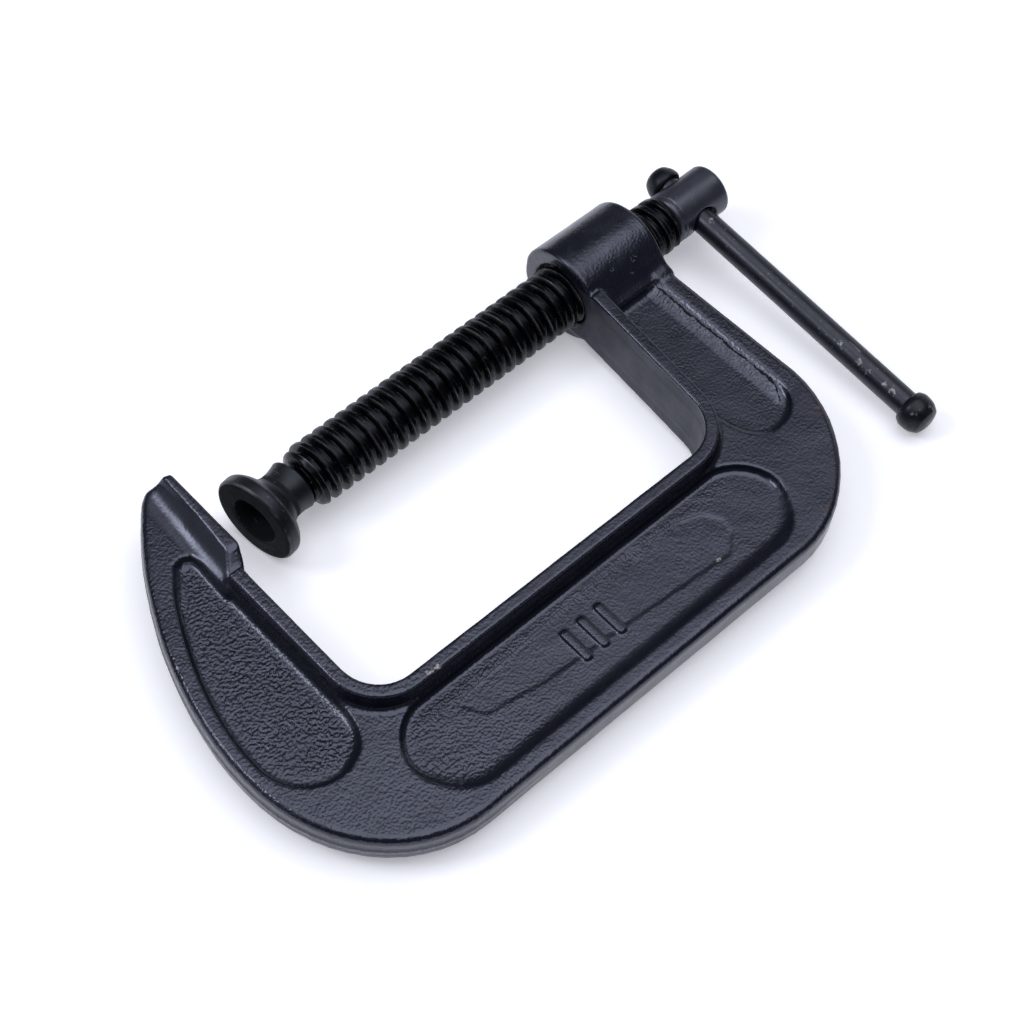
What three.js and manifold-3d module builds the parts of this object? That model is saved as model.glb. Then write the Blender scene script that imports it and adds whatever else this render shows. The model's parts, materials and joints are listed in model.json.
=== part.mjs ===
// A three-inch C-clamp: one iron frame casting, a clamping screw with a loose swivel pad, and a tommy bar.
// Millimetres. X runs along the screw from the anvil face to the handle, +Y is the open side, Z is square to
// the flat sides. The origin is the centre of the anvil face, on the screw's axis.
import * as THREE from 'three';
import { mergeVertices } from 'three/addons/utils/BufferGeometryUtils.js';
import Module from 'manifold-3d';

const wasm = await Module();
wasm.setup();

const RIGHT_ANGLE = Math.PI / 2;
const FULL_TURN = Math.PI * 2;

// Frame casting
const JAW_GAP = 94; // anvil face to the near face of the threaded boss
const THROAT = 50.5; // screw axis to the inside of the spine
const ANVIL_RISE = 3.3; // anvil face above the inside of the jaw
const ANVIL_HALF_WIDTH = 7.5;
const FLANGE_HALF_WIDTH = 8.2; // the wide flange that lines the inside of the C
const FLANGE_THICKNESS = 3;
const WEB_HALF_THICKNESS = 3.9; // the body outside the flange
const BAND_HALF_WIDTH = 1.2; // the ground band along the parting line
const EDGE_ROUND = 1.1; // how far the outer edge rounds back from the band
const POCKET_DEPTH = 1.6;
const SPINE_OUTSIDE_Y = -80;
const ARM_LEAN = THREE.MathUtils.degToRad(4.5); // inside of the arm leans off square to the screw
const LEFT_CORNER = { x: 5.7, y: 9 - THROAT, radius: 9 };
const RIGHT_CORNER = { x: 81.5, y: 10 - THROAT, radius: 10 };
const BOSS = { start: JAW_GAP, end: 115, radius: 11.2, chamfer: 0.6 };
const TIP_Y = 15.5; // end of the jaw, past the screw's axis
const PIPS = { x: 40.7, y: -65, pitch: 4.6, width: 1.8, length: 8, rise: 0.6 };

// Screw
const PITCH = 3;
const CREST_RADIUS = 7;
const ROOT_RADIUS = 5.6;
const THREAD_START = 21;
const THREAD_END = 125.2;
const THREAD_FIT = 0.35; // running clearance inside the boss
const SIDES = 16; // facets round the thread
const HEAD = { start: 126, end: 140.2, radius: 5.9 };
const BAR_HOLE_RADIUS = 3.3;

// Swivel pad, on the peened ball end of the screw
const PAD_PIVOT_X = 17;
const PAD_TILT = THREE.MathUtils.degToRad(8); // the loose pad hangs a little askew
const NECK_RADIUS = 3.2;
const PEEN = { start: 13.2, end: 14.8, radius: 4.5 };

// Tommy bar
const BAR_X = 132.6;
const BAR_TURN = THREE.MathUtils.degToRad(3.4); // below the plane of the frame
const BAR_RADIUS = 2.95;
const BAR_SPIGOT = { radius: 2, length: 2.5 };
const KNOB_FIT = 0.3;
const NEAR_KNOB = { radius: 4.05, foot: 3.8, middle: 1.2, length: 4.5 };
const FAR_KNOB = { radius: 4.2, foot: 3.5, middle: 2.4, length: 6.3 };
const BAR_NEAR_END = -HEAD.radius; // along the bar, from the screw's axis
const BAR_FAR_END = 67;

function solid(geometry) {
  const bare = geometry.clone();
  bare.deleteAttribute('normal');
  bare.deleteAttribute('uv');
  const merged = mergeVertices(bare, 1e-4);
  return new wasm.Manifold(new wasm.Mesh({
    numProp: 3,
    vertProperties: new Float32Array(merged.attributes.position.array),
    triVerts: new Uint32Array(merged.index.array),
  }));
}

function geometryOf(manifold) {
  const mesh = manifold.getMesh();
  const geometry = new THREE.BufferGeometry();
  geometry.setAttribute('position', new THREE.BufferAttribute(mesh.vertProperties, 3));
  geometry.setIndex(new THREE.BufferAttribute(mesh.triVerts, 1));
  geometry.computeVertexNormals();
  return geometry;
}

// A solid of revolution about X from [x, radius] pairs in order of rising x, closed on the axis or on itself.
function turned(profile, segments) {
  const points = profile.map(([x, radius]) => new THREE.Vector2(radius, x));
  return new THREE.LatheGeometry(points, segments).rotateZ(-RIGHT_ANGLE);
}

// A flat outline in X and Y made into a slab centred on z = 0, its faces drawn in by round at the edges.
function slab(shape, halfHeight, band = halfHeight, round = 0) {
  const rounded = round > 0;
  return new THREE.ExtrudeGeometry(shape, {
    depth: 2 * band,
    bevelEnabled: rounded,
    bevelThickness: halfHeight - band,
    bevelSize: round,
    bevelOffset: -round,
    bevelSegments: 2,
    curveSegments: 8,
  }).translate(0, 0, -band);
}

// The opening between anvil and boss, widened by offset into the metal; it stops at y = top.
function throatOutline(offset, top) {
  const lean = new THREE.Vector2(Math.cos(ARM_LEAN), -Math.sin(ARM_LEAN));
  const armFoot = new THREE.Vector2(RIGHT_CORNER.x, RIGHT_CORNER.y)
    .addScaledVector(lean, RIGHT_CORNER.radius + offset);
  const armTopX = armFoot.x + (top - armFoot.y) * Math.tan(ARM_LEAN);
  const shape = new THREE.Shape();
  shape.moveTo(-ANVIL_RISE - offset, top);
  shape.lineTo(-ANVIL_RISE - offset, LEFT_CORNER.y);
  shape.absarc(LEFT_CORNER.x, LEFT_CORNER.y, LEFT_CORNER.radius + offset, Math.PI, 3 * RIGHT_ANGLE);
  shape.absarc(RIGHT_CORNER.x, RIGHT_CORNER.y, RIGHT_CORNER.radius + offset, -RIGHT_ANGLE, -ARM_LEAN);
  shape.lineTo(armTopX, top);
  return shape;
}

// The whole opening as a cutter: anvil face, slope down to the jaw, throat and the boss's near face.
function openingOutline() {
  const high = 40;
  const bossFoot = -9.5;
  const throat = throatOutline(0, bossFoot).getPoints(8);
  const shape = new THREE.Shape();
  shape.moveTo(0, high);
  shape.lineTo(0, -6.5);
  shape.quadraticCurveTo(-0.6, -8.6, -2, -11);
  shape.quadraticCurveTo(-ANVIL_RISE, -13.5, -ANVIL_RISE, -17);
  throat.slice(1).forEach((point) => shape.lineTo(point.x, point.y));
  shape.lineTo(JAW_GAP, bossFoot);
  shape.lineTo(JAW_GAP, high);
  return shape;
}

// Outside of the frame on the parting plane, closed across the opening.
function outsideOutline() {
  const shape = new THREE.Shape();
  shape.moveTo(0, 0);
  shape.lineTo(0, TIP_Y - 0.5);
  shape.lineTo(-0.8, TIP_Y);
  shape.lineTo(-4, TIP_Y + 0.4);
  shape.quadraticCurveTo(-6.4, TIP_Y + 0.3, -8.2, TIP_Y - 1.7);
  shape.bezierCurveTo(-20.5, -0.5, -31, -24, -30.5, -45);
  shape.bezierCurveTo(-30.5, -65, -17.4, SPINE_OUTSIDE_Y, 0, SPINE_OUTSIDE_Y);
  shape.lineTo(86, SPINE_OUTSIDE_Y);
  shape.bezierCurveTo(101, SPINE_OUTSIDE_Y, 116.2, -64, 116.2, -48);
  shape.lineTo(114.6, -8);
  shape.lineTo(108, 0);
  return shape;
}

function spinePocketOutline() {
  const endRadius = 11.3;
  const middleY = -65.3;
  const shape = new THREE.Shape();
  shape.absarc(5.4, middleY, endRadius, RIGHT_ANGLE, 3 * RIGHT_ANGLE);
  shape.absarc(82, middleY, endRadius, -RIGHT_ANGLE, RIGHT_ANGLE);
  return shape;
}

function jawPocketOutline() {
  const shape = new THREE.Shape();
  shape.moveTo(-12, -0.5);
  shape.bezierCurveTo(-19.5, -11, -27.4, -28, -27.4, -44);
  shape.bezierCurveTo(-27.4, -52, -22, -56.6, -15.5, -56.6);
  shape.bezierCurveTo(-9.5, -56.6, -7.2, -52, -7.2, -46);
  shape.lineTo(-7.2, -4);
  shape.quadraticCurveTo(-7.4, -0.5, -10, -0.5);
  return shape;
}

function armPocketOutline() {
  const shape = new THREE.Shape();
  shape.moveTo(108.8, -6);
  shape.lineTo(98, -6);
  shape.lineTo(95.2, -44);
  shape.bezierCurveTo(95.2, -51, 98, -55.6, 102.4, -55.6);
  shape.bezierCurveTo(107, -55.6, 109, -52, 109, -47);
  return shape;
}

// The anvil's raised strip, with its outer side sloping down to the body.
function anvilBlock() {
  const foot = -5.6;
  const section = new THREE.Shape();
  section.moveTo(1, -ANVIL_HALF_WIDTH);
  section.lineTo(1, ANVIL_HALF_WIDTH);
  section.lineTo(-3.2, ANVIL_HALF_WIDTH);
  section.lineTo(foot, WEB_HALF_THICKNESS - 0.2);
  section.lineTo(foot, 0.2 - WEB_HALF_THICKNESS);
  section.lineTo(-3.2, -ANVIL_HALF_WIDTH);
  const length = 24;
  return new THREE.ExtrudeGeometry(section, { depth: length, bevelEnabled: false })
    .rotateX(RIGHT_ANGLE)
    .translate(0, TIP_Y - 0.6, 0);
}

// A rod with a right-hand thread, a little longer than from start to end; its mesh rows follow the helix.
function threadedRod(start, end, crest, root, flankShift) {
  const profile = [
    [-flankShift, crest],
    [0.3 + flankShift, crest],
    [0.5 + flankShift, root],
    [0.8 - flankShift, root],
  ];
  const turns = Math.ceil((end - start) / PITCH) + 2;
  const positions = [];
  const firstX = Math.floor(start / PITCH - 1) * PITCH;
  for (let turn = 0; turn < turns; turn += 1) {
    for (const [along, radius] of profile) {
      for (let side = 0; side < SIDES; side += 1) {
        const angle = (FULL_TURN * side) / SIDES;
        const x = firstX + PITCH * (turn + along + side / SIDES);
        positions.push(x, radius * Math.cos(angle), radius * Math.sin(angle));
      }
    }
  }
  const perTurn = profile.length;
  const rows = turns * perTurn - perTurn;
  const vertex = (row, side) => (side < SIDES ? row * SIDES + side : (row + perTurn) * SIDES);
  const nearCentre = positions.length / 3;
  positions.push(firstX + PITCH / 2, 0, 0, firstX + PITCH * (turns - 0.5), 0, 0);
  const farCentre = nearCentre + 1;
  const triangles = [];
  for (let row = 0; row < rows - 1; row += 1) {
    for (let side = 0; side < SIDES; side += 1) {
      const here = vertex(row, side);
      const across = vertex(row + 1, side + 1);
      triangles.push(here, vertex(row, side + 1), across, here, across, vertex(row + 1, side));
    }
  }
  for (let side = 0; side < SIDES; side += 1) {
    triangles.push(nearCentre, vertex(0, side + 1), vertex(0, side));
    triangles.push(farCentre, vertex(rows - 1, side), vertex(rows - 1, side + 1));
  }
  for (let row = 0; row < perTurn; row += 1) {
    triangles.push(nearCentre, vertex(row, 0), vertex(row + 1, 0));
    triangles.push(farCentre, vertex(rows + row, 0), vertex(rows - 1 + row, 0));
  }
  const geometry = new THREE.BufferGeometry();
  geometry.setAttribute('position', new THREE.Float32BufferAttribute(positions, 3));
  geometry.setIndex(triangles);
  return geometry;
}

function frameGeometry() {
  const body = solid(slab(outsideOutline(), WEB_HALF_THICKNESS, BAND_HALF_WIDTH, EDGE_ROUND));
  const pocketFloor = WEB_HALF_THICKNESS - POCKET_DEPTH;
  const pocketHeight = 10;
  const pockets = [spinePocketOutline(), jawPocketOutline(), armPocketOutline()].flatMap((outline) => {
    const cutter = new THREE.ExtrudeGeometry(outline, {
      depth: pocketHeight, bevelEnabled: false, curveSegments: 8,
    });
    return [
      solid(cutter.clone().translate(0, 0, pocketFloor)),
      solid(cutter.clone().translate(0, 0, -pocketFloor - pocketHeight)),
    ];
  });
  const flangeOutline = throatOutline(FLANGE_THICKNESS, -7);
  const flange = solid(slab(flangeOutline, FLANGE_HALF_WIDTH, FLANGE_HALF_WIDTH - 0.6, 0.5));
  const flangeTop = -10;
  const jawClear = new THREE.BoxGeometry(20, 20, 40).translate(-3, flangeTop + 10, 0);
  const boss = solid(turned([
    [BOSS.start, 0],
    [BOSS.start, BOSS.radius - BOSS.chamfer],
    [BOSS.start + BOSS.chamfer, BOSS.radius],
    [BOSS.end - BOSS.chamfer, BOSS.radius],
    [BOSS.end, BOSS.radius - BOSS.chamfer],
    [BOSS.end, 0],
  ], 36));
  const innerThread = solid(threadedRod(
    BOSS.start - 2 * PITCH, BOSS.end + 2 * PITCH, CREST_RADIUS + THREAD_FIT, ROOT_RADIUS + THREAD_FIT, 0.06,
  ));
  const opening = solid(new THREE.ExtrudeGeometry(openingOutline(), {
    depth: 60, bevelEnabled: false, curveSegments: 8,
  }).translate(0, 0, -30));

  let casting = body;
  for (const pocket of pockets) casting = casting.subtract(pocket);
  casting = casting.add(flange.subtract(solid(jawClear)));
  casting = casting.add(solid(anvilBlock()));
  casting = casting.subtract(opening).add(boss);
  for (const step of [-1, 0, 1]) {
    const pip = new THREE.BoxGeometry(PIPS.width, PIPS.length, 2 * PIPS.rise);
    casting = casting.add(solid(pip.translate(PIPS.x + step * PIPS.pitch, PIPS.y, pocketFloor)));
  }
  return geometryOf(casting.subtract(innerThread));
}

function screwGeometry() {
  const envelope = solid(turned([
    [THREAD_START, 0],
    [THREAD_START, ROOT_RADIUS - 0.2],
    [THREAD_START + 1.8, CREST_RADIUS + 0.2],
    [THREAD_END - 9, CREST_RADIUS + 0.2],
    [THREAD_END - 5, HEAD.radius + 0.6],
    [THREAD_END - 1, HEAD.radius + 0.5],
    [THREAD_END, HEAD.radius - 0.1],
    [THREAD_END, 0],
  ], 40));
  const thread = solid(threadedRod(THREAD_START, THREAD_END, CREST_RADIUS, ROOT_RADIUS, 0));
  const ring = 0.45;
  const core = solid(turned([
    [PEEN.start, 0],
    [PEEN.start, PEEN.radius - 1.2],
    [PEEN.start + 0.5, PEEN.radius],
    [PEEN.end - 0.3, PEEN.radius],
    [PEEN.end, PEEN.radius - 0.5],
    [PEEN.end, NECK_RADIUS],
    [THREAD_START, NECK_RADIUS],
    [THREAD_START, ROOT_RADIUS - 0.3],
    [HEAD.start - 0.6, ROOT_RADIUS - 0.3],
    [HEAD.start - 0.6, HEAD.radius],
    [HEAD.start + 0.7, HEAD.radius],
    [HEAD.start + 0.7, HEAD.radius - ring],
    [HEAD.start + 1.2, HEAD.radius - ring],
    [HEAD.start + 1.4, HEAD.radius],
    [HEAD.end - 0.9, HEAD.radius],
    [HEAD.end, HEAD.radius - 1],
    [HEAD.end, 0],
  ], 32));
  const hole = solid(new THREE.CylinderGeometry(BAR_HOLE_RADIUS, BAR_HOLE_RADIUS, 4 * HEAD.radius, 24)
    .rotateX(BAR_TURN).translate(BAR_X, 0, 0));
  return geometryOf(thread.intersect(envelope).add(core).subtract(hole));
}

// x is measured from the pad's pivot.
function padGeometry() {
  const rim = { x: -7.2, radius: 8.1, tube: 1.9 };
  const recess = { floor: -1.2, radius: 5.3 };
  const profile = [[recess.floor, recess.radius], [rim.x - 1.4, recess.radius], [rim.x - rim.tube, 5.8]];
  const steps = 5;
  for (let step = 0; step <= steps; step += 1) {
    const angle = (Math.PI * step) / steps;
    profile.push([rim.x - rim.tube * Math.cos(angle), rim.radius + rim.tube * Math.sin(angle)]);
  }
  const collar = { x: 2.9, radius: 5.4, bore: 4.1 };
  profile.push(
    [-3.6, 6.4],
    [-1.8, 5.1],
    [0, 5],
    [collar.x - 1.5, collar.radius],
    [collar.x - 0.4, collar.radius],
    [collar.x, collar.radius - 0.4],
    [collar.x, collar.bore],
    [recess.floor, collar.bore],
    [recess.floor, recess.radius],
  );
  return turned(profile, 40);
}

// Along the bar, from the near end to the far end.
function barGeometry() {
  return turned([
    [BAR_NEAR_END - BAR_SPIGOT.length, 0],
    [BAR_NEAR_END - BAR_SPIGOT.length, BAR_SPIGOT.radius],
    [BAR_NEAR_END, BAR_SPIGOT.radius],
    [BAR_NEAR_END, BAR_RADIUS],
    [BAR_FAR_END, BAR_RADIUS],
    [BAR_FAR_END, BAR_SPIGOT.radius],
    [BAR_FAR_END + BAR_SPIGOT.length, BAR_SPIGOT.radius],
    [BAR_FAR_END + BAR_SPIGOT.length, 0],
  ], 24);
}

// An acorn-shaped knob pressed on a spigot; x starts at the face that meets the bar's shoulder.
function knobGeometry({ radius, foot, middle, length }) {
  const boreRadius = BAR_SPIGOT.radius + KNOB_FIT;
  const boreEnd = BAR_SPIGOT.length + KNOB_FIT;
  const profile = [[boreEnd, 0], [boreEnd, boreRadius], [0, boreRadius], [0, foot - 0.3], [0.3, foot]];
  profile.push([middle / 2, (foot + 3 * radius) / 4]);
  const steps = 5;
  const dome = length - middle;
  for (let step = 0; step <= steps; step += 1) {
    const angle = (RIGHT_ANGLE * step) / steps;
    profile.push([middle + dome * Math.sin(angle), step === steps ? 0 : radius * Math.cos(angle)]);
  }
  return turned(profile, 24);
}

const paintedIron = new THREE.MeshStandardMaterial({ color: 0x3c3e49, roughness: 0.35, metalness: 0.1 });
const blackSteel = new THREE.MeshStandardMaterial({ color: 0x17181b, roughness: 0.4, metalness: 0.8 });

function piece(name, geometry, material) {
  const mesh = new THREE.Mesh(geometry, material.clone());
  mesh.name = name;
  return mesh;
}

const clamp = new THREE.Group();
clamp.add(piece('frame', frameGeometry(), paintedIron));
clamp.add(piece('clamp_screw', screwGeometry(), blackSteel));

const pad = piece('swivel_pad', padGeometry(), blackSteel);
pad.position.set(PAD_PIVOT_X, 0, 0);
pad.rotation.z = PAD_TILT;
clamp.add(pad);

// The bar group's X axis points down the bar, away from the open side.
const bar = new THREE.Group();
bar.position.set(BAR_X, 0, 0);
bar.rotation.set(BAR_TURN, 0, -RIGHT_ANGLE);
bar.add(piece('tommy_bar', barGeometry(), blackSteel));
const farKnob = piece('bar_knob_far', knobGeometry(FAR_KNOB), blackSteel);
farKnob.position.x = BAR_FAR_END + KNOB_FIT;
bar.add(farKnob);
const nearKnob = piece('bar_knob_near', knobGeometry(NEAR_KNOB), blackSteel);
nearKnob.position.x = BAR_NEAR_END - KNOB_FIT;
nearKnob.rotation.y = Math.PI;
bar.add(nearKnob);
clamp.add(bar);

export default clamp;
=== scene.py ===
"""A painted cast C-clamp with a blackened screw, swivel pad and sliding bar, lying on a pale floor.

Shapes are worked out in millimetres in the row frame (X along the screw from the anvil face, +Y the
open side, Z square to the flat sides) and become metres when a mesh is made.
"""
import json
import math

import bmesh
import bpy
import numpy as np
from mathutils import Matrix, Vector, noise


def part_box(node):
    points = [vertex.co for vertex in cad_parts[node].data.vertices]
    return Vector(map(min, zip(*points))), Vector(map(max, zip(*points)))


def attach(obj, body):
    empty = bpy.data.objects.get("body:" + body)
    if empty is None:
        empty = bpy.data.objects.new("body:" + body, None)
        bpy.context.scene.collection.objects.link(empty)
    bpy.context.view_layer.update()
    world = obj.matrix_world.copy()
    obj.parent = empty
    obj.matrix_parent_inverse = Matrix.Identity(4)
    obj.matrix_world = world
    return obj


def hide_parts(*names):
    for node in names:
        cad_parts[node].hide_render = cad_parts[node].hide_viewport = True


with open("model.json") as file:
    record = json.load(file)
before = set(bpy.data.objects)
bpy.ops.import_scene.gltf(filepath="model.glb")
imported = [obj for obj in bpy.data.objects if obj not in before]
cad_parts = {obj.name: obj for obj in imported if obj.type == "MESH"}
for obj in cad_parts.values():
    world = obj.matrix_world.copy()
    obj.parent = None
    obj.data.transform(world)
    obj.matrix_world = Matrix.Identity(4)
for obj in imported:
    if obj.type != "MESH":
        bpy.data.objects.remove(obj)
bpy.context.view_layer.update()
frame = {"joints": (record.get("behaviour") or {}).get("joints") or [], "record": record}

MM = 0.001  # metres in a millimetre
RECORD = frame["record"]
JOINTS = {joint["name"]: joint for joint in frame["joints"]}
MOUNTS = {mount["name"]: mount for mount in RECORD["mounts"]}


def node_box(name):
    """Lowest and highest corners of a CAD node, in millimetres."""
    low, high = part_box(name)
    return Vector(low) / MM, Vector(high) / MM


FRAME_LOW, FRAME_HIGH = node_box("frame")
SCREW_HIGH = node_box("clamp_screw")[1]

# Frame casting
BOSS_RADIUS = FRAME_HIGH.z
BOSS_START = 94.0
BOSS_END = 115.0
BORE_FROM = 80.0  # the bore is cut from here outwards
ANVIL_RISE = 3.3  # anvil face above the inside of the jaw
ANVIL_HALF_WIDTH = 7.5
ANVIL_SHEAR = 0.087  # how fast the anvil's slopes run back along the jaw
ANVIL_SQUARE_Y = 3.4  # where the sheared section is true
ANVIL_TOE = (-6.8, 0.62)  # where the anvil starts to lose height, and how fast
ANVIL_TOE_SCALE = 1.18  # brings that slope back to about a distance
FLANGE_HALF_WIDTH = 8.2
FLANGE_THICKNESS = 3.0
FLANGE_DRAFT = 0.09  # how fast the flange widens towards the parting plane
PLATE_HALF = 3.9
EDGE_RADIUS = 1.6  # rounding of the outer edge
FLANGE_TOP_Y = -8.5  # where the flange ends under the anvil and the boss
FLANGE_DROP = 2.8  # how much lower it ends on the jaw
FLASH_HEIGHT = 0.3  # mould flash along the parting plane
BOSS_GROUND_Y = 10.85  # strip ground flat along the boss's parting line
POCKET_DEPTH = 1.6
ARM_SLOPE_RISE = 1.4
PANEL_DEPTH = 0.16
THROAT = 50.5
ARM_LEAN = math.radians(4.5)
LEFT_CORNER = (5.7, 9.0 - THROAT, 9.0)  # x, y, radius
RIGHT_CORNER = (81.5, 10.0 - THROAT, 10.0)
PIP_CENTRE = (40.7, -65.0)
PIP_PITCH = 4.6
PIP_HALF = (0.9, 4.0)
PIP_RISE = 0.6

# Screw, pad and bar
PITCH = RECORD["behaviour"]["couplings"][0]["ratio"] * 2 * math.pi / MM
CREST = SCREW_HIGH.z
ROOT = 5.2
RUN_FIT = 0.35  # slack between the screw and the boss
RIDGE_PHASE = 0.15  # where a ridge passes angle 0, as part of a pitch
# Thread section from a ridge's middle to a groove's middle: how far along the pitch, how high
THREAD_SHAPE = [
    (0, 0.07, 0.13, 0.158, 0.174, 0.19, 0.23, 0.272, 0.288, 0.31, 0.36, 0.43, 0.5),
    (1, 1, 1, 0.985, 0.93, 0.82, 0.49, 0.15, 0.055, 0, 0, 0, 0),
]
THREAD_START = 21.0
THREAD_END = 125.3
RUN_OUT = (114.5, 118.5)  # where the thread dies away beside the head
RUN_OUT_RADIUS = 6.35
TIP_RADIUS = 3.2
HEAD_END = SCREW_HIGH.x
HEAD_RADIUS = 5.9
GROOVE_X = 127
GROOVE_DEPTH = 0.22
BAR_X = 132.6
BAR_HOLE = 3.3
BAR_RADIUS = 2.95
BAR_DIRECTION = -Vector(JOINTS["bar_slide"]["axis"])  # towards the far knob
PAD_PIVOT = Vector((17.0, 0.0, 0.0))
PAD_AXIS = -Vector(MOUNTS["pad_face"]["axis"])  # from the pad's face towards its collar
# Along the pad from its pivot, radius, fillet: the recess, the rim, the flare, the waist and the collar
PAD_PROFILE = [
    (-1.2, 4.7, 0), (-1.2, 5.2, 0.3), (-5.4, 5.2, 0.1), (-5.6, 5.5, 0.1), (-8.8, 5.5, 0.3),
    (-9.1, 5.85, 0.2), (-9.1, 9.45, 0.45), (-8.6, 10.05, 0.5), (-6.3, 10.0, 0.6), (-5.0, 8.8, 1.1),
    (-3.9, 6.6, 1.8),
    (-2.0, 5.35, 1.8), (0.6, 5.35, 1.2), (2.6, 5.8, 0.15), (2.9, 5.6, 0.15), (2.9, 4.1, 0.3),
    (-1.2, 4.1, 0.2), (-1.2, 4.7, 0),
]
PAD_RIM_FACE = -8.95
PAD_RECESS_RADIUS = 5.6
PAD_WORN_EDGES = [(-8.75, 9.85), (-6.0, 9.75)]
PAD_WEAR_WIDTH = 0.45
KNOB_GAP = 0.1
SPIGOT = 2.5  # how deep the bar's ends sit in the knobs
BAR_NEAR_END = -5.9  # the knobs' seats, along the bar from the screw's axis
BAR_FAR_END = 67.0


# ---------------------------------------------------------------- outlines

def arc(x, y, radius, start, end, steps=10):
    """Points on an arc, angles in quarter turns."""
    angles = np.linspace(start, end, steps + 1) * math.pi / 2
    return [(x + radius * math.cos(a), y + radius * math.sin(a)) for a in angles]


def bezier(a, b, c, d, steps=14):
    t = np.linspace(0, 1, steps + 1)[:, None]
    a, b, c, d = (np.array(point, float) for point in (a, b, c, d))
    points = (1 - t) ** 3 * a + 3 * (1 - t) ** 2 * t * b + 3 * (1 - t) * t ** 2 * c + t ** 3 * d
    return [tuple(point) for point in points]


def casting_outline():
    """Outside of the frame on the parting plane, closed across the opening."""
    left, right, bottom = FRAME_LOW.x, FRAME_HIGH.x, FRAME_LOW.y
    return (
        [(2, 0), (2, 13.5), (-0.2, 14.45), (-2.7, 15.3), (-4.7, 15.85)]
        + bezier((-4.7, 15.85), (-6.4, 16.1), (-7.6, 14.7), (-8.2, 13.8), 4)[1:]
        + bezier((-8.2, 13.8), (-20.5, -0.5), (left - 0.5, -24), (left, -45))[1:]
        + bezier((left, -45), (left, -65), (-17.4, bottom), (0, bottom))[1:]
        + bezier((86, bottom), (101, bottom), (right, -64), (right, -48))
        + [(114.6, -8), (108, 0)]
    )


def throat_outline(top):
    """The U-shaped inside of the frame, open upwards to y = top."""
    left_x, left_y, left_radius = LEFT_CORNER
    right_x, right_y, right_radius = RIGHT_CORNER
    foot_x = right_x + right_radius * math.cos(ARM_LEAN)
    foot_y = right_y - right_radius * math.sin(ARM_LEAN)
    top_x = foot_x + (top - foot_y) * math.tan(ARM_LEAN)
    lean = ARM_LEAN / (math.pi / 2)
    return (
        [(-ANVIL_RISE, top)]
        + arc(left_x, left_y, left_radius, 2, 3)
        + arc(right_x, right_y, right_radius, -1, -lean)
        + [(top_x, top)]
    )


def opening_outline():
    """Everything cut out between the anvil face and the boss."""
    inside = throat_outline(-9.5)
    step = bezier((0, -6.5), (-0.8, -8.4), (-1.2, -9.8), (-2.3, -11.2), 5)
    return (
        [(0, 40)] + step
        + bezier((-2.3, -11.2), (-3.2, -12.4), (-ANVIL_RISE, -13.5), (-ANVIL_RISE, -16), 4)[1:]
        + inside[1:] + [(BOSS_START, -9.5), (BOSS_START, 40)]
    )


def spine_pocket():
    return arc(5.4, -65.3, 11.3, 1, 3, 14) + arc(82, -65.3, 11.3, -1, 1, 14)


def jaw_pocket():
    return (
        bezier((-12, -0.5), (-19.5, -11), (-27.4, -28), (-27.4, -44))
        + bezier((-27.4, -44), (-27.4, -52), (-22, -56.6), (-15.5, -56.6))[1:]
        + bezier((-15.5, -56.6), (-9.5, -56.6), (-6.6, -52), (-6.6, -46))[1:]
        + [(-6.6, -4), (-7.4, -1), (-9.5, 0)]
    )


def arm_pocket():
    return (
        [(111.2, -6), (97.4, -6), (94.6, -44)]
        + bezier((94.6, -44), (95.2, -51), (98, -55.8), (102.8, -55.8))[1:]
        + bezier((102.8, -55.8), (108.4, -55.8), (111.9, -52), (111.9, -45))[1:]
    )


def spine_panel():
    """The faint sunk panel on the spine pocket's floor."""
    return [
        (9.8, -59.5), (13.1, -58.65), (22.3, -58.1), (39.3, -57.1), (57.5, -56.7), (70.5, -57.5),
        (76.2, -59.6), (78.9, -63.4), (77.9, -66.9), (74.3, -70.2), (44.9, -67.9), (26.2, -66.8),
        (13, -64.5),
    ]


# ---------------------------------------------------------------- distance fields

def outline_distance(points, x, y):
    """Signed distance from a closed outline, negative inside it."""
    x, y = np.broadcast_arrays(x, y)
    nearest = np.full(x.shape, np.inf)
    inside = np.zeros(x.shape, bool)
    for (ax, ay), (bx, by) in zip(points, points[1:] + points[:1]):
        ex, ey = bx - ax, by - ay
        if ex == 0 and ey == 0:
            continue
        along = np.clip(((x - ax) * ex + (y - ay) * ey) / (ex * ex + ey * ey), 0, 1)
        nearest = np.minimum(nearest, (x - ax - ex * along) ** 2 + (y - ay - ey * along) ** 2)
        if ay != by:
            inside ^= ((ay > y) != (by > y)) & (x < ex * (y - ay) / ey + ax)
    return np.where(inside, -1, 1) * np.sqrt(nearest)


def blend_union(a, b, width):
    return np.minimum(a, b) - np.maximum(width - np.abs(a - b), 0) ** 2 / (4 * width)


def blend_cut(a, b, width):
    """a with b taken away, the edge softened."""
    return -blend_union(-a, b, width)


def rounded(a, b, radius):
    """Where both a and b are inside, with the edge between them rounded off."""
    u, v = a + radius, b + radius
    return np.hypot(np.maximum(u, 0), np.maximum(v, 0)) + np.minimum(np.maximum(u, v), 0) - radius


def smooth_ramp(value, start, end):
    t = np.clip((value - start) / (end - start), 0, 1)
    return t * t * (3 - 2 * t)


def off_ridge(x, angle):
    """How far round the pitch a point is from the nearest thread ridge, 0 to 0.5."""
    phase = x / PITCH - angle / (2 * math.pi) - RIDGE_PHASE
    return np.abs(phase - np.round(phase))


def thread_radius(x, angle, crest, root):
    """Radius of a right-hand trapezoidal thread's surface."""
    ridge = np.interp(off_ridge(x, angle), THREAD_SHAPE[0], THREAD_SHAPE[1])
    return root + (crest - root) * ridge


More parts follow.
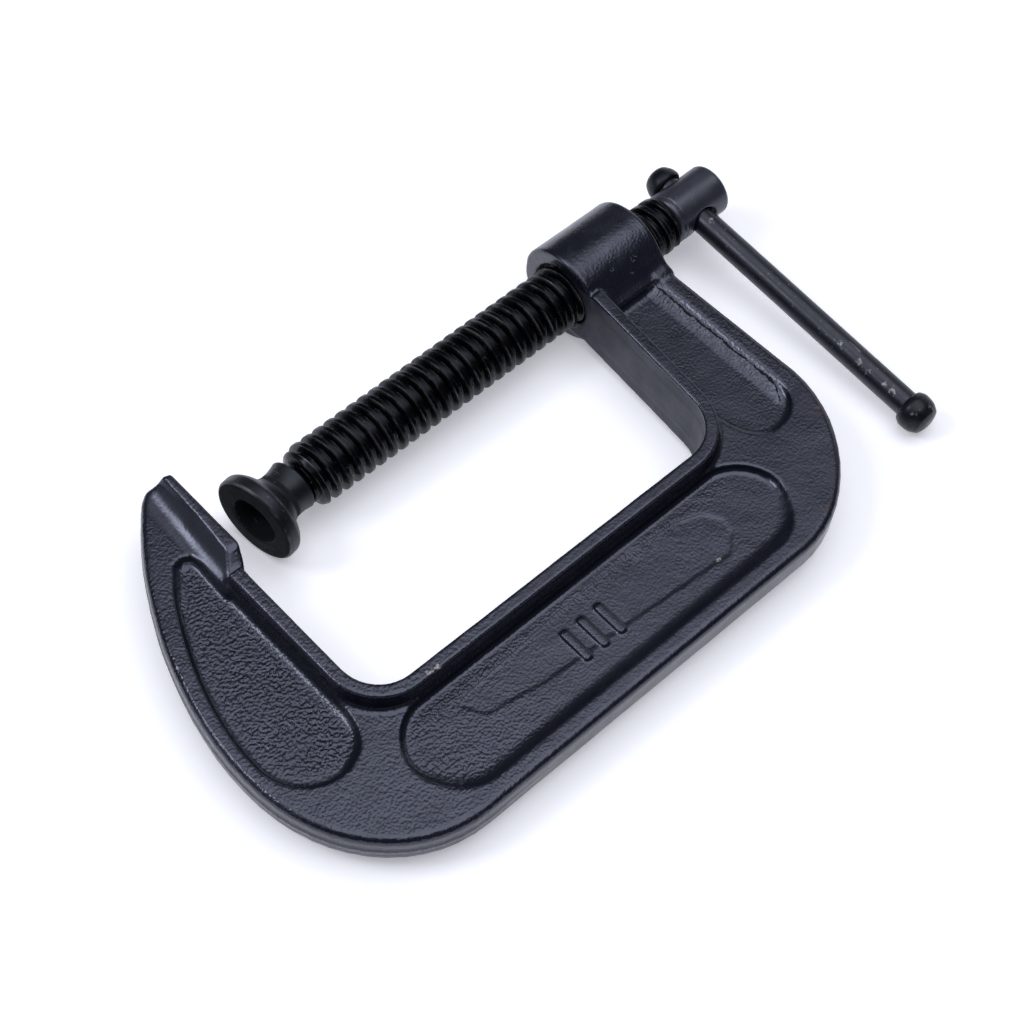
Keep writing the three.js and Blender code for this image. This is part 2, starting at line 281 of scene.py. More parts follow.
OUTSIDE = casting_outline()
THROAT_LINE = throat_outline(40)
OPENING = opening_outline()
POCKETS = {"spine": spine_pocket(), "jaw": jaw_pocket(), "arm": arm_pocket()}
PANEL = spine_panel()
PANEL_HEIGHT = PLATE_HALF - POCKET_DEPTH - PANEL_DEPTH
# Across the jaw: the face's two edges, then the slopes down to the plate
ANVIL_SECTION = [
    (1, -ANVIL_HALF_WIDTH), (1, ANVIL_HALF_WIDTH), (-1.9, ANVIL_HALF_WIDTH),
    (-6.3, 3.4), (-6.3, -3.4), (-1.9, -ANVIL_HALF_WIDTH),
]


def pocket_cut(name, x, y, height):
    """A shallow pocket whose floor runs up to the rim in a wide fillet."""
    edge = outline_distance(POCKETS[name], x, y)
    fillet = 1.4
    floor = PLATE_HALF - POCKET_DEPTH
    if name == "spine":
        fillet = fillet + 2.6 * smooth_ramp(-y, 62, 71)
    if name == "jaw":
        fillet = fillet + 1.4 * smooth_ramp(x, -17, -12)
    if name == "arm":
        slope_foot = 107.0 - 0.02 * (y + 15)
        floor = floor + ARM_SLOPE_RISE * np.clip((x - slope_foot) / 4.4, 0, 1) * smooth_ramp(y, -55, -46)
    return rounded(edge, floor - height, fillet)


def casting(x, y, z):
    """The frame casting's field: negative in the metal, about zero millimetres at its skin."""
    height = np.abs(z)
    outside = outline_distance(OUTSIDE, x, y)
    throat = outline_distance(THROAT_LINE, x, y)
    flash = FLASH_HEIGHT * np.exp(-(z / 0.5) ** 2) * smooth_ramp(-x, -20, 10)
    body = rounded(outside - flash, height - PLATE_HALF, EDGE_RADIUS)
    for name in POCKETS:
        body = blend_cut(body, pocket_cut(name, x, y, height), 0.5)
    panel = rounded(outline_distance(PANEL, x, y), PANEL_HEIGHT - height, 0.3)
    body = blend_cut(body, panel, 0.15)
    for place_along in (-1, 0, 1):
        across = np.abs(x - PIP_CENTRE[0] - place_along * PIP_PITCH) - PIP_HALF[0]
        along = np.abs(y - PIP_CENTRE[1]) - PIP_HALF[1]
        bar = rounded(rounded(across, along, 0.6), height - PLATE_HALF + POCKET_DEPTH - PIP_RISE, 0.22)
        body = blend_union(body, bar, 0.25)

    middle = (FLANGE_THICKNESS + FLANGE_DRAFT * (FLANGE_HALF_WIDTH - height)) / 2
    flange = rounded(np.abs(throat - middle) - middle, height - FLANGE_HALF_WIDTH, 0.45)
    flange = rounded(flange, y - FLANGE_TOP_Y + FLANGE_DROP * smooth_ramp(-x, -20, 0), 0.5)
    body = blend_union(body, flange, 1.3)

    shear = ANVIL_SHEAR * (y - ANVIL_SQUARE_Y) * smooth_ramp(-x, 0.6, 3)
    section = outline_distance(ANVIL_SECTION, np.minimum(x, 0.5) - shear, z)
    toe = (height - ANVIL_HALF_WIDTH + ANVIL_TOE[1] * (ANVIL_TOE[0] - y)) / ANVIL_TOE_SCALE
    anvil = rounded(rounded(section, np.maximum(outside, -y - 12.5), 0.6), toe, 0.4)
    body = blend_union(body, anvil, 1.9)

    opening = outline_distance(OPENING, x, y)
    body = blend_cut(body, opening, 0.35)
    radius = np.hypot(y, z)
    from_face = (BOSS_END - BOSS_START) / 2 - np.abs(x - (BOSS_START + BOSS_END) / 2)
    boss = rounded(radius - BOSS_RADIUS, -from_face, 0.7)
    body = blend_union(body, blend_cut(boss, BOSS_GROUND_Y - y, 0.2), 0.9)
    thread = thread_radius(x, np.arctan2(z, y), CREST + RUN_FIT, ROOT + RUN_FIT)
    mouth = CREST + RUN_FIT + 0.5 * smooth_ramp(-from_face, -0.8, 0)
    bore = radius - mouth - (thread - mouth) * smooth_ramp(from_face, 1.2, 2.4)
    return blend_cut(body, np.maximum(bore, BORE_FROM - x), 0.3)


def head(x, y, z):
    """The screw's plain round head with its cross hole."""
    radius = np.hypot(y, z)
    middle = (THREAD_END + HEAD_END) / 2
    length = HEAD_END - THREAD_END
    body = rounded(radius - HEAD_RADIUS, np.abs(x - middle) - length / 2, 0.9)
    groove = rounded(HEAD_RADIUS - GROOVE_DEPTH - radius, np.abs(x - GROOVE_X) - 0.16, 0.05)
    body = blend_cut(body, groove, 0.08)
    across = y * BAR_DIRECTION.z - z * BAR_DIRECTION.y
    from_bar = np.hypot(x - BAR_X, across)
    along = np.abs(y * BAR_DIRECTION.y + z * BAR_DIRECTION.z)
    mouth = 0.35 * smooth_ramp(along, HEAD_RADIUS - 1.6, HEAD_RADIUS - 0.6)
    return blend_cut(body, from_bar - BAR_HOLE - mouth, 0.35)


# ---------------------------------------------------------------- meshes

def surface_net(field, low, high, step):
    """Vertices and four-sided faces on the zero surface of a field, sampled on a grid."""
    axes = [np.arange(low[k] - 2.37 * step, high[k] + 2 * step, step) for k in range(3)]
    x, y, z = np.meshgrid(*axes, indexing="ij", sparse=True)
    value = np.broadcast_to(field(x, y, z), [len(a) for a in axes]).astype(np.float32)
    shape = np.array(value.shape)
    owners, points, rings = [], [], []
    for axis in range(3):
        start = [slice(None)] * 3
        end = [slice(None)] * 3
        start[axis], end[axis] = slice(None, -1), slice(1, None)
        first, second = value[tuple(start)], value[tuple(end)]
        where = np.argwhere((first < 0) != (second < 0))
        a, b = first[tuple(where.T)], second[tuple(where.T)]
        point = where.astype(float)
        point[:, axis] += a / (a - b)
        u, v = [(axis + 1) % 3, (axis + 2) % 3]
        ring = []
        for du, dv in ((1, 1), (0, 1), (0, 0), (1, 0)):
            cell = where.copy()
            cell[:, u] -= du
            cell[:, v] -= dv
            ring.append(np.ravel_multi_index(cell.T, shape))
            owners.append(ring[-1])
            points.append(point)
        ring = np.stack(ring, axis=1)
        ring[a > 0] = ring[a > 0][:, ::-1]
        rings.append(ring)
    cells, index = np.unique(np.concatenate(owners), return_inverse=True)
    points = np.concatenate(points)
    counts = np.bincount(index)
    corner = np.stack([np.bincount(index, points[:, k]) / counts for k in range(3)], axis=1)
    corner = corner * step + np.array([a[0] for a in axes])
    faces = np.searchsorted(cells, np.concatenate(rings))
    return corner, faces


def settle(field, points, rounds=2, reach=0.25):
    """Moves each point straight onto the field's zero surface; returns points and outward normals."""
    nudge = 0.02
    for _ in range(rounds + 1):
        x, y, z = points.T
        here = field(x, y, z)
        slope = np.stack([
            field(x + nudge, y, z) - here,
            field(x, y + nudge, z) - here,
            field(x, y, z + nudge) - here,
        ], axis=1) / nudge
        size = np.maximum((slope ** 2).sum(axis=1), 0.05)
        move = slope * (here / size)[:, None]
        length = np.linalg.norm(move, axis=1, keepdims=True)
        points = points - move * np.minimum(1, reach / np.maximum(length, 1e-9))
    return points, slope / np.sqrt(size)[:, None]


def make_object(name, points, faces, attributes=None):
    """A smooth-shaded mesh object from points in millimetres."""
    mesh = bpy.data.meshes.new(name)
    mesh.from_pydata((np.asarray(points) * MM).tolist(), [], [list(map(int, face)) for face in faces])
    mesh.validate()
    for key, values in (attributes or {}).items():
        layer = mesh.attributes.new(key, "FLOAT", "POINT")
        layer.data.foreach_set("value", np.asarray(values, np.float32))
    mesh.shade_smooth()
    piece = bpy.data.objects.new(name, mesh)
    bpy.context.scene.collection.objects.link(piece)
    return piece


def rounded_profile(corners):
    """A profile of (x, radius) points from (x, radius, fillet) corners, each corner turned as an arc."""
    profile = []
    for index, (x, radius, fillet) in enumerate(corners):
        here = Vector((x, radius))
        if fillet == 0 or index in (0, len(corners) - 1):
            profile.append(here)
            continue
        before = Vector(corners[index - 1][:2]) - here
        after = Vector(corners[index + 1][:2]) - here
        reach = min(fillet, before.length * 0.48, after.length * 0.48)
        start, end = here + before.normalized() * reach, here + after.normalized() * reach
        for t in np.linspace(0, 1, 6):
            profile.append(start * (1 - t) ** 2 + here * 2 * t * (1 - t) + end * t ** 2)
    return profile


def lathe(name, corners, origin, axis, segments=96, spacing=1.2):
    """A solid turned about an axis; the profile is closed on the axis or on itself."""
    profile = rounded_profile(corners)
    dense = [profile[0]]
    for a, b in zip(profile, profile[1:]):
        pieces = max(1, math.ceil((b - a).length / spacing))
        dense += [a.lerp(b, (k + 1) / pieces) for k in range(pieces)]
    closed = (dense[0] - dense[-1]).length < 1e-6
    if closed:
        dense.pop()
    turn = Vector((1, 0, 0)).rotation_difference(Vector(axis)).to_matrix()
    points, rows = [], []
    for x, radius in dense:
        if radius < 1e-6:
            rows.append([len(points)] * segments)
            points.append(Vector(origin) + turn @ Vector((x, 0, 0)))
            continue
        rows.append(list(range(len(points), len(points) + segments)))
        for k in range(segments):
            a = 2 * math.pi * k / segments
            points.append(Vector(origin) + turn @ Vector((x, radius * math.cos(a), radius * math.sin(a))))
    faces = []
    pairs = list(zip(rows, rows[1:])) + ([(rows[-1], rows[0])] if closed else [])
    for low, high in pairs:
        for k in range(segments):
            n = (k + 1) % segments
            ring = [low[k], low[n], high[n], high[k]]
            faces.append(list(dict.fromkeys(ring)))
    return make_object(name, np.array(points), faces)


def fractal(points, scale, seed, octaves=3):
    """Smooth noise in -1 to 1 at each point; scale is in millimetres."""
    shift = Vector((seed * 17.3, seed * 5.1, seed * 9.7))
    return np.array([noise.fractal(Vector(p) / scale + shift, 0.6, 2.1, octaves) for p in points])


# ---------------------------------------------------------------- pieces

def casting_piece():
    """The frame casting.

    Its attributes say how rough the paint is: grain fine, coarse pebbled, wall matt, calm smooth. seam is the
    distance from the panel's edge, along which a dark line of painted shade is drawn, and faint hides that
    line in places.
    """
    step = 0.42
    points, faces = surface_net(casting, FRAME_LOW, FRAME_HIGH, step)
    points, normals = settle(casting, points)
    x, y, z = points.T
    height = np.abs(z)
    up = np.abs(normals[:, 2])
    jaw = smooth_ramp(-outline_distance(POCKETS["jaw"], x, y), 1.2, 3.5)
    spine = smooth_ramp(-outline_distance(POCKETS["spine"], x, y), 1.2, 3.5)
    arm = smooth_ramp(-outline_distance(POCKETS["arm"], x, y), 0.6, 2.5)
    on_plate = smooth_ramp(up, 0.75, 0.97) * (height < PLATE_HALF + 0.5)
    spine_grain = 0.28 + 0.3 * smooth_ramp(-x, -22, 4)
    arm_grain = 0.22 + 0.6 * smooth_ramp(y, -24, -12) + 0.5 * smooth_ramp(x, 104.5, 107.5)
    grain = on_plate * np.clip(0.2 + 0.8 * jaw + spine_grain * spine + arm_grain * arm, 0, 1)
    grain = np.maximum(grain, 0.35 * smooth_ramp(height, 8.0, 8.2) * up)
    throat = np.abs(outline_distance(THROAT_LINE, x, y))
    wall = (1 - smooth_ramp(up, 0.3, 0.6)) * (1 - smooth_ramp(throat, 0.5, 1.2)) * (height < 7.6)
    from_anvil = outline_distance(ANVIL_SECTION, x, z)
    calm = (1 - smooth_ramp(from_anvil, 1.6, 2.6)) * smooth_ramp(-x, 1.6, 2.6) * smooth_ramp(y, -11, -8)
    calm = np.maximum(calm, 0.5 * wall)
    calm = np.maximum(calm, 0.7 * smooth_ramp(x, 0, 42))
    fringe = spine * smooth_ramp(y, -59.2, -57.2) * smooth_ramp(-y, 54.6, 55.6)
    grain = grain + 2.4 * fringe
    # Distance from the sunk panel's edge; the enamel draws a dark line of painted shade along that edge
    panel_shade_line = outline_distance(PANEL, x, y)
    # Where the painted shade line is left out: the panel's lower edge, outside the spine pocket and
    # underneath
    lower = smooth_ramp(-y, 59.8, 61) * (1 - 0.5 * smooth_ramp(x, 50, 65))
    faint = np.clip(lower + (1 - spine) + (z < 0), 0, 1)
    swell = 0.09 * fractal(points, 9, 1, 2)
    pebble = 0.03 * grain * fractal(points, 1.5, 2, 1) * (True)
    mated = (np.abs(x) < 0.3) & (height < 6.8)
    bore = (np.hypot(y, z) < CREST + 1.2) & (x > 85)
    lift = np.where(mated | bore, 0, swell * 0.6 + pebble)
    points = points + normals * lift[:, None]
    coarse = np.clip(jaw + 0.7 * spine * smooth_ramp(-x, -18, 6) + 0.5 * (height > 7.2), 0, 1) * on_plate
    looks = {"grain": grain, "coarse": coarse, "wall": wall, "panel_shade_line": panel_shade_line, "faint": faint, "calm": calm}
    return make_object("casting", points, faces, looks)


def thread_piece():
    """The helical thread as rows that follow the helix, with its ends turned down square."""
    sides = 72
    shape = np.array(THREAD_SHAPE[0])
    phases = np.sort(np.concatenate([shape, -shape[1:-1]])) + RIDGE_PHASE
    per_pitch = len(phases)
    pitches = np.arange(math.floor(THREAD_START / PITCH) - 2, math.ceil(THREAD_END / PITCH) + 2)
    rows = (pitches[:, None] + phases[None, :]).ravel()
    turn = np.arange(sides) / sides
    x = np.clip(PITCH * (rows[:, None] + turn[None, :]), THREAD_START, THREAD_END)
    angle = np.broadcast_to(2 * math.pi * turn[None, :], x.shape)
    stations = [THREAD_START, THREAD_START + 0.8, THREAD_START + 2.6, *RUN_OUT, THREAD_END - 0.8, THREAD_END]
    limit = np.interp(x, stations, [ROOT - 0.3, 6.2, CREST, CREST, RUN_OUT_RADIUS, 6.3, ROOT - 0.3])
    radius = np.minimum(thread_radius(x, angle, CREST, ROOT), limit)
    points = np.stack([x, radius * np.cos(angle), radius * np.sin(angle)], axis=-1).reshape(-1, 3)

    def vertex(row, side):
        return row * sides + side if side < sides else (row + per_pitch) * sides

    faces = []
    top = len(rows) - 1 - per_pitch
    for row in range(top):
        for side in range(sides):
            lower = [vertex(row, side), vertex(row, side + 1)]
            faces.append(lower + [vertex(row + 1, side + 1), vertex(row + 1, side)])
    near, far = len(points), len(points) + 1
    points = np.vstack([points, [THREAD_START, 0, 0], [THREAD_END, 0, 0]])
    faces += [[near, vertex(0, s + 1), vertex(0, s)] for s in range(sides)]
    faces += [[far, vertex(top, s), vertex(top, s + 1)] for s in range(sides)]
    faces += [[near, vertex(r, 0), vertex(r + 1, 0)] for r in range(per_pitch)]
    faces += [[far, vertex(top + r + 1, 0), vertex(top + r, 0)] for r in range(per_pitch)]
    off = off_ridge(x, angle)
    edge_wear = smooth_ramp(off, 0.13, 0.165) * (1 - smooth_ramp(off, 0.175, 0.2))
    piece = make_object("screw_thread", points, faces, {"ridge": np.append(edge_wear.ravel(), [0, 0])})
    weld(piece)
    return piece


def weld(piece):
    """Joins vertices that lie together and drops faces left without area."""
    mesh = bmesh.new()
    mesh.from_mesh(piece.data)
    bmesh.ops.remove_doubles(mesh, verts=mesh.verts, dist=1e-3 * MM)
    bmesh.ops.dissolve_degenerate(mesh, dist=1e-4 * MM, edges=mesh.edges)
    mesh.to_mesh(piece.data)
    mesh.free()


def head_piece():
    step = 0.22
    low = (THREAD_END, -HEAD_RADIUS, -HEAD_RADIUS)
    high = (HEAD_END, HEAD_RADIUS, HEAD_RADIUS)
    points, faces = surface_net(head, low, high, step)
    points, _ = settle(head, points, reach=0.1)
    return make_object("screw_head", points, faces)


def tip_piece():
    """The peened ball end that holds the pad."""
    corners = [
        (13.2, 0, 0), (13.2, TIP_RADIUS, 0.6), (13.8, 4.5, 0.5), (14.8, 4.3, 0.3), (15.2, 3.3, 0.4),
        (THREAD_START + 0.1, TIP_RADIUS, 0), (THREAD_START + 0.1, 0, 0),
    ]
    return lathe("screw_tip", corners, (0, 0, 0), (1, 0, 0), 64, 0.6)


def pad_piece():
    """The pad; its face attribute marks the matt rim and recess, ridge the two worn edges of the rim."""
    pad = lathe("pad_shell", PAD_PROFILE, PAD_PIVOT, PAD_AXIS, 120, 0.45)
    face, edge = [], []
    for vertex in pad.data.vertices:
        from_pivot = vertex.co / MM - PAD_PIVOT
        along = from_pivot.dot(PAD_AXIS)
        radius = (from_pivot - PAD_AXIS * along).length
        on_rim = along < PAD_RIM_FACE
        in_recess = radius < PAD_RECESS_RADIUS and along < -1
        face.append(1.0 if on_rim or in_recess else 0.0)
        nearest = min(math.hypot(along - x, radius - r) for x, r in PAD_WORN_EDGES)
        edge.append(max(0.0, 1 - nearest / PAD_WEAR_WIDTH))
    for key, values in (("face", face), ("ridge", edge)):
        pad.data.attributes.new(key, "FLOAT", "POINT").data.foreach_set("value", values)
    return pad


def bar_piece():
    near, far = BAR_NEAR_END - SPIGOT, BAR_FAR_END + SPIGOT
    corners = [(near, 0, 0), (near, BAR_RADIUS, 0.3), (far, BAR_RADIUS, 0.3), (far, 0, 0)]
    return lathe("bar_rod", corners, (BAR_X, 0, 0), BAR_DIRECTION, 64, 1.5)


def knob_piece(name, at, direction, corners):
    """A knob upset over the bar's end, with a blind socket the bar's end sits in."""
    origin = Vector((BAR_X, 0, 0)) + BAR_DIRECTION * at
    depth, radius = SPIGOT + 0.1, BAR_RADIUS + 0.03
    socket = [(depth, 0, 0), (depth, radius, 0), (0, radius, 0)]
    return lathe(name, socket + corners, origin, direction, 80, 0.5)


def far_knob():
    corners = [
        (0, 3.2, 0.1), (0.25, 3.75, 0.4), (1.5, 4.35, 0.9), (3.9, 4.2, 0.9),
        (5.6, 3.15, 0.35), (6.2, 1.7, 0.8), (6.3, 0, 0),
    ]
    return knob_piece("far_knob", BAR_FAR_END + KNOB_GAP, BAR_DIRECTION, corners)


def near_knob():
    corners = [
        (0, 3.7, 0.3), (0.6, 4.05, 0.5), (1.9, 3.95, 0.8),
        (3.7, 3.1, 0.8), (4.5, 1.9, 0.7), (4.65, 0, 0),
    ]
    return knob_piece("near_knob", BAR_NEAR_END - KNOB_GAP, -BAR_DIRECTION, corners)


# ---------------------------------------------------------------- materials

# Small marks on the casting, the bar and the far knob, in millimetres
BOSS_PITS = [(108.4, -7.0, 8.8), (107.4, -7.3, 8.5), (101.8, -6.7, 8.9), (105.9, -9.0, 6.7)]
RUST_SPOTS = [(112.0, -58.9, 3.2), (36.5, -79.6, 2.0), (96.0, -76.0, 2.6), (-27.5, -60.0, -2.0)]
KNOB_SCUFFS = [(129.5, -70.8, -0.7), (133.8, -71.5, -1.2), (128.8, -72.5, -1.3)]
BAR_SCUFFS = [
    (132.1, -7.8, 2.3), (130.9, -48.2, -0.3), (131.0, -54.0, -0.7), (130.6, -57.1, -0.8),
    (130.9, -60.9, -1.0), (131.1, -63.4, -1.2),
]
CHIPS = [(8.5, -52.8, 8.1), (9.6, -52.9, 8.1), (10.5, -53.0, 8.1), (71.3, -69.5, 2.3), (60.0, -50.6, -8.0)]


ENAMEL = ((0.0055, 0.0062, 0.0112, 1), (0.0085, 0.0094, 0.0160, 1))
DUST = (0.055, 0.055, 0.066, 1)
RUST = (0.10, 0.035, 0.015, 1)
CHIPPED = (0.32, 0.28, 0.25, 1)
# Light grey for specks on the crack's grainy fringe: painted glints on the sand grains
SAND_AND_GLINT = (0.075, 0.075, 0.085, 1)
# Near-black for the casting crack and for the painted shade line along the panel's edge
CRACK_AND_SHADE_LINE = (0.0012, 0.0012, 0.0016, 1)
BLACKENED = ((0.0055, 0.0060, 0.0095), (0.010, 0.0108, 0.0160))
BARE_STEEL = (0.26, 0.26, 0.27, 1)
FLOOR_TINTS = ((0.90, 0.90, 0.935, 1), (0.92, 0.92, 0.95, 1))
FLOOR_GLOW = ((0.93, 0.94, 1.0, 1), 0.35)


class Nodes:
    """Short calls for building one node material."""

    def __init__(self, name):
        self.material = bpy.data.materials.new(name)
        self.material.use_nodes = True
        self.tree = self.material.node_tree
        self.shader = self.tree.nodes["Principled BSDF"]

    def add(self, kind, inputs=None, **settings):
        node = self.tree.nodes.new(kind)
        for key, value in settings.items():
            setattr(node, key, value)
        for key, value in (inputs or {}).items():
            self.feed(node, key, value)
        return node

    def feed(self, node, key, value):
        if isinstance(value, bpy.types.NodeSocket):
            self.tree.links.new(value, node.inputs[key])
        else:
            node.inputs[key].default_value = value

    def math(self, operation, a, b=0.0):
        return self.add("ShaderNodeMath", {0: a, 1: b}, operation=operation).outputs[0]

    def noise(self, scale, detail=3.0, rough=0.55, vector=None):
        inputs = {"Scale": scale, "Detail": detail, "Roughness": rough}
        inputs["Vector"] = self.position() if vector is None else vector
        return self.add("ShaderNodeTexNoise", inputs).outputs["Fac"]

    def position(self):
        return self.add("ShaderNodeTexCoord").outputs["Object"]

    def ramp(self, value, low, high, out_low=0.0, out_high=1.0):
        inputs = {"Value": value, "From Min": low, "From Max": high, "To Min": out_low, "To Max": out_high}
        node = self.add("ShaderNodeMapRange", inputs, interpolation_type="SMOOTHSTEP", clamp=True)
        return node.outputs["Result"]

    def mix(self, factor, a, b):
        node = self.add("ShaderNodeMix", {"Factor": factor}, data_type="RGBA")
        self.feed(node, 6, a)
        self.feed(node, 7, b)
        return node.outputs[2]

    def attribute(self, name):
        return self.add("ShaderNodeAttribute", attribute_name=name).outputs["Fac"]

    def bump(self, height, distance, strength=1.0):
        inputs = {"Height": height, "Distance": distance * MM, "Strength": strength}
        return self.add("ShaderNodeBump", inputs).outputs["Normal"]


def spots(n, centres, radius):
    """Soft-edged spots round points in millimetres, 1 at their centres."""
    jitter = n.add("ShaderNodeTexNoise", {"Vector": n.position(), "Scale": 900, "Detail": 2}).outputs["Color"]
    jitter = n.add("ShaderNodeVectorMath", {0: jitter, 1: (0.5, 0.5, 0.5)}, operation="SUBTRACT").outputs[0]
    reach = 2.2 * radius * MM
    jitter = n.add("ShaderNodeVectorMath", {0: jitter, "Scale": reach}, operation="SCALE").outputs[0]
    blurred = n.add("ShaderNodeVectorMath", {0: n.position(), 1: jitter}, operation="ADD").outputs[0]
    found = 0.0
    for centre in centres:
        away = n.add("ShaderNodeVectorMath", {0: blurred, 1: Vector(centre) * MM}, operation="DISTANCE")
        spot = n.ramp(away.outputs["Value"], radius * MM * 0.5, radius * MM, 1.0, 0.0)
        found = n.math("MAXIMUM", spot, found)
    return found


def arm_crack(n):
    """A ragged cold-shut line along the arm's pocket slope, on the upper side; it curls in at its foot."""
    place = n.add("ShaderNodeSeparateXYZ", {0: n.position()})
    x, y, z = place.outputs[0], place.outputs[1], place.outputs[2]
    wander = n.math("MULTIPLY", n.math("SUBTRACT", n.noise(420, 5, 0.7), 0.5), 0.0014)
    curl = n.math("MAXIMUM", n.math("SUBTRACT", n.math("MULTIPLY", y, -1), 0.0455), 0)
    curl = n.math("MULTIPLY", n.math("MULTIPLY", curl, curl), 70)
    straight = n.math("ADD", n.math("MULTIPLY", y, -0.031), 0.1091)
    line_x = n.math("SUBTRACT", straight, curl)
    beside = n.math("ADD", n.math("SUBTRACT", x, line_x), wander)
    off = n.math("ABSOLUTE", beside)
    width = n.ramp(n.noise(600, 2), 0.36, 0.6, 0.00008, 0.00030)
    line = n.math("LESS_THAN", off, width)
    # A grainy band beside the line, mostly on one side; it roughens the bump and carries painted glints
    fringe = n.math("MULTIPLY", n.ramp(beside, -0.0022, -0.0012), n.ramp(beside, -0.0002, 0.0010, 1.0, 0.25))
    span = n.math("MULTIPLY", n.math("GREATER_THAN", y, -0.051), n.math("LESS_THAN", y, -0.0125))
    on_slope = n.math("MULTIPLY", span, n.math("GREATER_THAN", z, 0.001))
    return n.math("MULTIPLY", line, on_slope), n.math("MULTIPLY", fringe, on_slope)


def painted_iron():
    """Dark slate enamel over a sand casting, with pits, rust specks and a casting crack."""
    n = Nodes("slate_enamel")
    grain = n.attribute("grain")
    coarse = n.attribute("coarse")
    paint = n.mix(n.ramp(n.noise(55, 4), 0.3, 0.7), *ENAMEL)
    dust = n.ramp(n.noise(2600, 2), 0.66, 0.8, 0, 0.3)
    paint = n.mix(dust, paint, DUST)
    rust = n.math("MULTIPLY", spots(n, RUST_SPOTS, 1.6), n.ramp(n.noise(520, 4), 0.45, 0.6))
    paint = n.mix(rust, paint, RUST)
    chips = n.math("MULTIPLY", spots(n, CHIPS, 0.75), n.ramp(n.noise(1300, 3), 0.42, 0.5))
    paint = n.mix(chips, paint, CHIPPED)
    crack, fringe = arm_crack(n)
    # Light specks on the fringe: painted glints, not a colour of the paint
    sparkle = n.math("MULTIPLY", fringe, n.ramp(n.noise(1900, 2), 0.45, 0.62))
    paint = n.mix(sparkle, paint, SAND_AND_GLINT)
    # A dark line of painted shade along the sunk panel's edge, left out where faint is set; it takes the
    # crack's near-black
    ragged = n.math("ADD", n.attribute("panel_shade_line"), n.math("MULTIPLY", n.noise(500, 3), 0.5))
    panel_shade_line = n.ramp(n.math("ABSOLUTE", n.math("SUBTRACT", ragged, 0.25)), 0.07, 0.17, 0.65, 0.0)
    panel_shade_line = n.math("MULTIPLY", panel_shade_line, n.math("SUBTRACT", 1.0, n.attribute("faint")))
    crack_and_shade_lines = n.math("MAXIMUM", crack, panel_shade_line)
    paint = n.mix(crack_and_shade_lines, paint, CRACK_AND_SHADE_LINE)
    n.feed(n.shader, "Base Color", paint)
    gloss = n.ramp(n.noise(170, 4), 0.3, 0.7, 0.20, 0.30)
    gloss = n.math("ADD", gloss, n.math("MULTIPLY", grain, 0.04))
    gloss = n.math("ADD", gloss, n.math("MULTIPLY", n.attribute("wall"), 0.3))
    n.feed(n.shader, "Roughness", n.math("MAXIMUM", gloss, crack_and_shade_lines))
    n.feed(n.shader, "Specular IOR Level", 0.78)
    n.feed(n.shader, "Specular Tint", (0.76, 0.80, 1.0, 1))
    pebbles = n.ramp(n.noise(1250, 0), 0.28, 0.72)
    sand = n.ramp(n.noise(1750, 0), 0.3, 0.7)
    peel = n.noise(480, 1, 0.4)
    pits = spots(n, BOSS_PITS, 0.5)
    coarse_relief = n.math("MULTIPLY", n.math("MULTIPLY", pebbles, coarse), 0.078)
    relief = n.math("ADD", n.math("MULTIPLY", pebbles, 0.022), n.math("MULTIPLY", peel, 0.055))
    relief = n.math("ADD", relief, coarse_relief)
    sandy = n.math("ADD", n.math("MULTIPLY", n.math("ADD", grain, fringe), 0.036), 0.02)
    relief = n.math("ADD", relief, n.math("MULTIPLY", sand, sandy))
    relief = n.math("MULTIPLY", relief, n.math("SUBTRACT", 1.0, n.math("MULTIPLY", n.attribute("calm"), 0.8)))
    relief = n.math("SUBTRACT", relief, n.math("MULTIPLY", pits, 0.16))
    n.feed(n.shader, "Normal", n.bump(relief, 1.0, 1.0))
    return n.material


